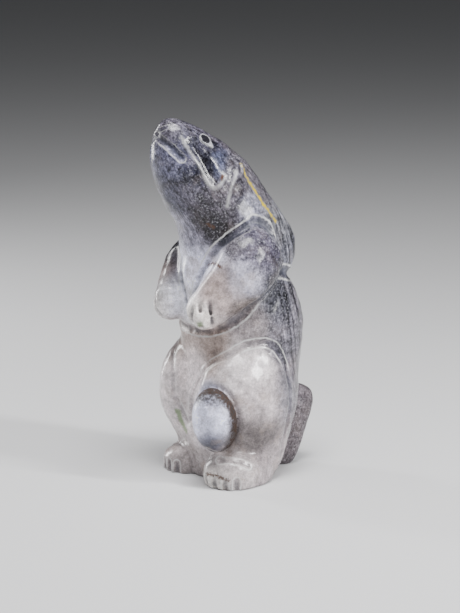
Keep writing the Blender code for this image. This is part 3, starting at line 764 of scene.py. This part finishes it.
def marble_material():
    n = Nodes("polished marble")
    place = n.millimetres()
    cloud = n.noise(place, 0.16, 3.0)
    mottle = n.noise(place, 0.85, 5.0, 0.66)
    grain = n.noise(place, 2.3, 4.0, 0.7)
    dust = n.noise(place, 3.4, 3.0, 0.7)
    head_streak = n.noise(n.millimetres(HEAD_RISE - 90.0, (2.3, 2.3, 0.32)), 1.0, 4.0, 0.65)
    back_streak = n.noise(n.millimetres(-8.0, (0.5, 1.15, 0.09)), 1.0, 3.0, 0.6)
    speckle = n.value("speckle")
    head = n.value("head")
    back = n.value("back")
    knee = n.value("knee")
    ragged = n.value("ragged")

    colour = n.add("ShaderNodeAttribute", attribute_name="tint").outputs["Color"]
    colour = n.brighten(colour, n.span(cloud, 0.3, 0.7, 0.78, 1.20))
    depth = n.span(speckle, 0.0, 0.8, 0.30, 1.05)
    spread = n.math("MULTIPLY", n.math("SUBTRACT", mottle, 0.5), n.math("MULTIPLY", depth, 4.2))
    colour = n.brighten(colour, n.math("MAXIMUM", n.math("ADD", spread, 1.0), 0.25))
    colour = n.brighten(colour, n.span(n.noise(place, 0.5, 5.0, 0.65), 0.34, 0.66, 0.78, 1.16))
    beige = n.math("MULTIPLY", n.span(n.noise(place, 0.31, 4.0), 0.5, 0.72), n.span(speckle, 0.1, 0.5, 0.5, 0.1))
    colour = n.blend(beige, colour, (0.33, 0.265, 0.235))

    streaks = n.math("ADD", n.math("MULTIPLY", n.math("SUBTRACT", head_streak, 0.5), head),
                     n.math("MULTIPLY", n.math("SUBTRACT", back_streak, 0.52), n.math("MULTIPLY", back, 1.5)))
    colour = n.brighten(colour, n.math("MAXIMUM", n.math("ADD", n.math("MULTIPLY", streaks, 4.4), 1.0), 0.2))

    pale = n.math("MULTIPLY", n.span(grain, 0.50, 0.72), n.math("MULTIPLY", speckle, 0.30))
    colour = n.blend(pale, colour, PALE_GRAIN)
    black = n.math("MULTIPLY", n.span(n.noise(place, 1.25, 6.0, 0.75), 0.56, 0.68), n.math("MULTIPLY", speckle, 0.85))
    colour = n.blend(black, colour, BLACK_GRAIN)
    fleck = n.math("MULTIPLY", n.math("SUBTRACT", grain, 0.5), n.span(speckle, 0.0, 0.6, 0.8, 2.2))
    colour = n.brighten(colour, n.math("MAXIMUM", n.math("ADD", fleck, 1.0), 0.3))
    colour = n.brighten(colour, n.span(dust, 0.3, 0.7, 0.88, 1.12))

    # Painted shade: a darker copy of the stone's colour, mixed with a blue-grey, laid into the floors of the cuts
    shaded_copy = n.brighten(colour, 0.34)
    stray = n.math("MULTIPLY", n.math("SUBTRACT", mottle, 0.5), 0.7)
    broken = n.span(n.noise(place, 0.42, 4.0), 0.36, 0.56, 0.4, 1.0)
    for name, floor_share, rim_share in (("cut", 0.97, 0.85), ("line", 0.38, 0.85)):
        wander = n.math("ADD", n.value(name), stray)
        floor = n.math("MULTIPLY", n.span(wander, 0.30, 0.95, floor_share, 0.0), n.span(grain, 0.3, 0.6, 0.7, 1.0))
        colour = n.blend(floor, colour, n.blend(0.4, shaded_copy, CUT_FLOOR_SHADE))
        # Painted highlight: a pale, broken band just outside each cut, strongest on its outer side
        rim = n.math("MULTIPLY", n.band(wander, 1.15, 0.30), n.math("MULTIPLY", broken, rim_share))
        rim = n.math("MULTIPLY", rim, n.span(n.value("outer"), 0.0, 1.0, 0.22, 1.0))
        colour = n.blend(rim, colour, CUT_EDGE_HIGHLIGHT)
    # Painted shade: darker colour in the brow, cheek, ear and nostril recesses
    hollow_shade = n.math("ADD", n.value("hollow_shade"), stray)
    colour = n.brighten(colour, n.span(hollow_shade, 0.0, 1.2, 0.50, 1.0))
    # Painted highlight: pale colour along the raised cheek and neck ridges
    ridge = n.math("ADD", n.value("ridge"), n.math("MULTIPLY", n.math("SUBTRACT", grain, 0.5), 2.4))
    colour = n.blend(n.math("MULTIPLY", n.span(ridge, 0.15, 0.85, 0.40, 0.0), broken), colour, CUT_EDGE_HIGHLIGHT)

    vein = n.math("ADD", n.value("vein"), n.math("MULTIPLY", n.math("SUBTRACT", mottle, 0.42), 1.9))
    colour = n.blend(n.span(vein, 0.3, 0.75, 0.6, 0.0), colour, VEIN_PALE)
    colour = n.blend(n.math("MULTIPLY", n.span(vein, 0.22, 0.58, 1.0, 0.0), n.span(grain, 0.36, 0.52, 0.35, 0.95)),
                     colour, VEIN_OCHRE)
    rust = n.math("ADD", n.value("rust"), n.math("MULTIPLY", n.math("SUBTRACT", grain, 0.5), 1.6))
    colour = n.blend(n.span(rust, 0.10, 0.62, 0.9, 0.0), colour, RUST)
    green = n.math("ADD", n.value("green"), n.math("MULTIPLY", n.math("SUBTRACT", mottle, 0.5), 1.2))
    colour = n.blend(n.span(green, 0.3, 1.1, 0.75, 0.0), colour, GREEN)

    edge = n.math("ADD", knee, n.math("MULTIPLY", n.math("SUBTRACT", n.noise(place, 1.1, 5.0, 0.75), 0.5), 4.6))
    # Painted shade: a narrow dark line along the knee's seam, where the knee overhangs the haunch
    seam_line_shade = n.math("MULTIPLY", n.band(knee, 0.35, 1.1), 0.8)
    # The collar: the real rusty rim on the knee's upper, ragged edge
    collar = n.math("MULTIPLY", n.band(edge, 1.0, 1.9), n.math("MULTIPLY", ragged, 1.9))
    collar = n.math("MULTIPLY", collar, n.span(edge, -0.9, 0.3))
    collar = n.math("MULTIPLY", collar, n.span(mottle, 0.34, 0.50, 0.25, 1.0))
    seam = n.math("MINIMUM", n.math("MAXIMUM", seam_line_shade, collar), 0.96)
    pitted = n.math("MULTIPLY", n.math("MULTIPLY", n.span(edge, 0.2, 1.0), n.span(edge, 2.2, 5.5, 1.0, 0.0)), ragged)
    colour = n.brighten(colour, n.span(pitted, 0.0, 1.0, 1.0, 0.40))
    pits = n.math("MULTIPLY", pitted, n.span(grain, 0.44, 0.60, 1.0, 0.15))
    colour = n.blend(n.math("MULTIPLY", pits, 0.92), colour, (0.035, 0.032, 0.038))
    colour = n.blend(seam, colour, n.blend(n.span(grain, 0.45, 0.6), KNEE_DIRT_AND_SHADE, (0.012, 0.010, 0.010)))
    n.feed(n.shader.inputs["Base Color"], colour)

    gloss = n.span(mottle, 0.3, 0.7, 0.12, 0.22)
    gloss = n.math("ADD", gloss, n.span(n.value("cut"), 0.4, 1.1, 0.28, 0.0))
    gloss = n.math("ADD", gloss, n.math("MULTIPLY", n.math("ADD", pits, seam), 0.25))
    n.feed(n.shader.inputs["Roughness"], n.math("MINIMUM", gloss, 0.8))
    n.shader.inputs["IOR"].default_value = 1.5
    n.shader.inputs["Specular IOR Level"].default_value = 0.30
    n.shader.inputs["Subsurface Weight"].default_value = 0.10
    n.shader.inputs["Subsurface Radius"].default_value = (1.0, 0.9, 0.8)
    n.shader.inputs["Subsurface Scale"].default_value = 0.0008

    height = n.math("ADD", n.math("MULTIPLY", grain, 0.5), n.math("MULTIPLY", mottle, 0.5))
    height = n.math("MULTIPLY", height, n.span(speckle, 0.0, 1.0, 0.35, 1.1))
    height = n.math("SUBTRACT", height, n.math("MULTIPLY", n.math("ADD", pits, seam), 0.8))
    bump = n.add("ShaderNodeBump")
    bump.inputs["Strength"].default_value = 0.38
    bump.inputs["Distance"].default_value = 0.00016
    n.feed(bump.inputs["Height"], height)
    n.feed(n.shader.inputs["Normal"], bump.outputs[0])
    return n.material


def jet_material():
    n = Nodes("polished jet")
    place = n.millimetres()
    cloud = n.noise(place, 1.6, 4.0)
    n.feed(n.shader.inputs["Base Color"], n.blend(cloud, (0.004, 0.004, 0.005), (0.022, 0.021, 0.028)))
    n.feed(n.shader.inputs["Roughness"], n.span(n.noise(place, 4.0, 3.0), 0.3, 0.7, 0.08, 0.20))
    n.shader.inputs["IOR"].default_value = 1.65
    bump = n.add("ShaderNodeBump")
    bump.inputs["Strength"].default_value = 0.15
    bump.inputs["Distance"].default_value = 0.00005
    n.feed(bump.inputs["Height"], cloud)
    n.feed(n.shader.inputs["Normal"], bump.outputs[0])
    return n.material


# Stone rim around each eye: distance outside the eye, height, and its share of the pointed corner
RIM_PROFILE = ((0.02, -EYE_DEPTH, 0.0), (0.02, 0.12, 0.0), (0.09, 0.22, 0.1), (0.22, 0.21, 0.6),
               (0.36, 0.04, 1.0), (0.46, -0.4, 1.0))
RIM_CORNER = 1.0
RIM_CORNER_TURN = 20.0


def eye_rim(side):
    """A narrow raised rim of stone around an eye, drawn out to a corner below."""
    spot, down, along, outward = eye_frame(side)
    turns = np.radians(np.arange(EYE_SEGMENTS) * 360.0 / EYE_SEGMENTS)
    off_corner = np.angle(np.exp(1j * (turns - side * math.radians(RIM_CORNER_TURN))))
    corner = RIM_CORNER * np.exp(-(off_corner / 0.42) ** 2)
    direction = np.cos(turns)[:, None] * down + np.sin(turns)[:, None] * along
    verts = []
    for out, height, share in RIM_PROFILE:
        flat = spot + direction * (EYE_RADIUS + out + share * corner)[:, None]
        ground = onto_surface(flat) if height > -EYE_DEPTH else flat
        verts.append(ground + outward * height)
    count = EYE_SEGMENTS
    quads = []
    for row in range(len(RIM_PROFILE) - 1):
        for i in range(count):
            j = (i + 1) % count
            quads.append((row * count + i, (row + 1) * count + i, (row + 1) * count + j, row * count + j))
    return np.concatenate(verts), np.array(quads)


def new_piece(name, verts, faces, material, node):
    """A smooth piece on the root body that stands for a CAD node."""
    mesh = bpy.data.meshes.new(name)
    mesh.from_pydata(placed(verts).tolist(), [], faces)
    mesh.update()
    mesh.polygons.foreach_set("use_smooth", [True] * len(mesh.polygons))
    mesh.materials.append(material)
    piece = bpy.data.objects.new(name, mesh)
    bpy.context.scene.collection.objects.link(piece)
    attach(piece, "root")
    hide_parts(node)
    return piece


def build_stone():
    axes = [np.arange(low, high, CELL) for low, high in zip(BOX_LOW, BOX_HIGH)]
    grid = np.meshgrid(*axes, indexing="ij", sparse=True)
    f = np.array(masses(grid), dtype=float) + hand_wave(grid)
    lines = carve_figure(f, axes)
    f = smooth_max(f, np.broadcast_to(-grid[2], f.shape), 0.35)
    verts, quads = surface_mesh(f, axes)
    verts = evened(f, axes, verts, quads)
    verts[:, 2] = np.maximum(verts[:, 2], 0.0)
    body_count = len(verts)
    for side in (1, -1):
        more, faces = eye_rim(side)
        quads = np.concatenate((quads, faces + len(verts)))
        verts = np.concatenate((verts, more))
    stone = new_piece("carved_stone", verts, quads.tolist(), marble_material(), "prairie_dog")
    marks = marks_at(verts, lines)
    marks["tint"][body_count:] = (0.25, 0.25, 0.27)
    marks["speckle"][body_count:] = 0.1
    for name in ("cut", "line", "hollow_shade", "ridge"):
        marks[name][body_count:] = FAR
    for name, values in marks.items():
        if values.ndim == 2:
            layer = stone.data.attributes.new(name, "FLOAT_COLOR", "POINT")
            layer.data.foreach_set("color", np.column_stack((values, np.ones(len(verts)))).ravel())
        else:
            layer = stone.data.attributes.new(name, "FLOAT", "POINT")
            layer.data.foreach_set("value", values)
    print("stone triangles", 2 * len(quads))


def build_eye(side, material):
    """A domed disc of jet, set into its socket."""
    spot, down, along, outward = eye_frame(side)
    profile = [(EYE_RADIUS * math.sin(a), EYE_EDGE + (EYE_DOME - EYE_EDGE) * math.cos(a))
               for a in np.linspace(0.12, 0.5 * math.pi, 9)]
    profile += [(EYE_RADIUS, -0.5 * EYE_DEPTH), (EYE_RADIUS, -EYE_DEPTH)]
    turns = np.arange(EYE_SEGMENTS) * 2.0 * math.pi / EYE_SEGMENTS
    direction = np.cos(turns)[:, None] * down + np.sin(turns)[:, None] * along
    verts = [spot + direction * r + outward * h for r, h in profile]
    verts = np.concatenate(verts + [[spot + outward * EYE_DOME], [spot - outward * EYE_DEPTH]])
    count = EYE_SEGMENTS
    top, foot = len(verts) - 2, len(verts) - 1
    last = (len(profile) - 1) * count
    faces = []
    for i in range(count):
        j = (i + 1) % count
        faces.append((top, i, j))
        faces.append((foot, last + j, last + i))
        faces += [(r + i, r + count + i, r + count + j, r + j) for r in range(0, last, count)]
    name = "left_eye" if side > 0 else "right_eye"
    new_piece(name + "_stone", verts, faces, material, name)


build_stone()
jet = jet_material()
for side in (1, -1):
    build_eye(side, jet)


# Camera, aimed as in the photograph
CAMERA_TURN = 55.0
CAMERA_RISE = 11.0
CAMERA_AWAY = 520.0
CAMERA_AIM = (0.6, 0.8, 35.0)
CAMERA_LENS = 148.7


def build_camera():
    turn = math.radians(CAMERA_TURN)
    rise = math.radians(CAMERA_RISE)
    aim = Vector(placed(CAMERA_AIM))
    back = Vector((math.sin(turn) * math.cos(rise), -math.cos(turn) * math.cos(rise), math.sin(rise)))
    data = bpy.data.cameras.new("camera")
    data.lens = CAMERA_LENS
    data.sensor_width = 36.0
    camera = bpy.data.objects.new("camera", data)
    camera.location = aim + back * CAMERA_AWAY * UNIT
    camera.rotation_euler = back.to_track_quat("Z", "Y").to_euler()
    bpy.context.scene.collection.objects.link(camera)
    bpy.context.scene.camera = camera
    return camera


def add_light(name, place, aim, size, power, colour=(1.0, 1.0, 1.0)):
    data = bpy.data.lights.new(name, "AREA")
    data.shape = "RECTANGLE"
    data.size, data.size_y = size
    data.energy = power
    data.color = colour
    light = bpy.data.objects.new(name, data)
    light.location = Vector(place)
    light.rotation_euler = (Vector(place) - Vector(aim)).to_track_quat("Z", "Y").to_euler()
    bpy.context.scene.collection.objects.link(light)
    return light


def build_studio():
    floor_mesh = bpy.data.meshes.new("floor")
    s = 3.0
    floor_mesh.from_pydata([(-s, -s, 0), (s, -s, 0), (s, s, 0), (-s, s, 0)], [], [(0, 1, 2, 3)])
    floor = bpy.data.objects.new("floor", floor_mesh)
    bpy.context.scene.collection.objects.link(floor)
    paper = bpy.data.materials.new("pale paper")
    paper.use_nodes = True
    shader = paper.node_tree.nodes["Principled BSDF"]
    shader.inputs["Base Color"].default_value = (0.62, 0.62, 0.63, 1)
    shader.inputs["Roughness"].default_value = 0.9
    floor_mesh.materials.append(paper)
    add_light("high key", (0.10, -0.06, 0.38), (0.0, 0.0, 0.045), (0.16, 0.14), 2.35)
    add_light("front left fill", (-0.28, -0.36, 0.16), (0.0, 0.0, 0.04), (0.42, 0.36), 0.26)
    add_light("right strip", (0.33, 0.16, 0.19), (0.0, 0.0, 0.04), (0.035, 0.15), 2.1)
    add_light("left strip", (-0.30, -0.10, 0.10), (0.0, 0.0, 0.03), (0.05, 0.20), 0.8)
    world = bpy.data.worlds.new("studio")
    world.use_nodes = True
    world.node_tree.nodes["Background"].inputs["Color"].default_value = (0.8, 0.82, 0.85, 1)
    world.node_tree.nodes["Background"].inputs["Strength"].default_value = 0.08
    bpy.context.scene.world = world


build_camera()
build_studio()
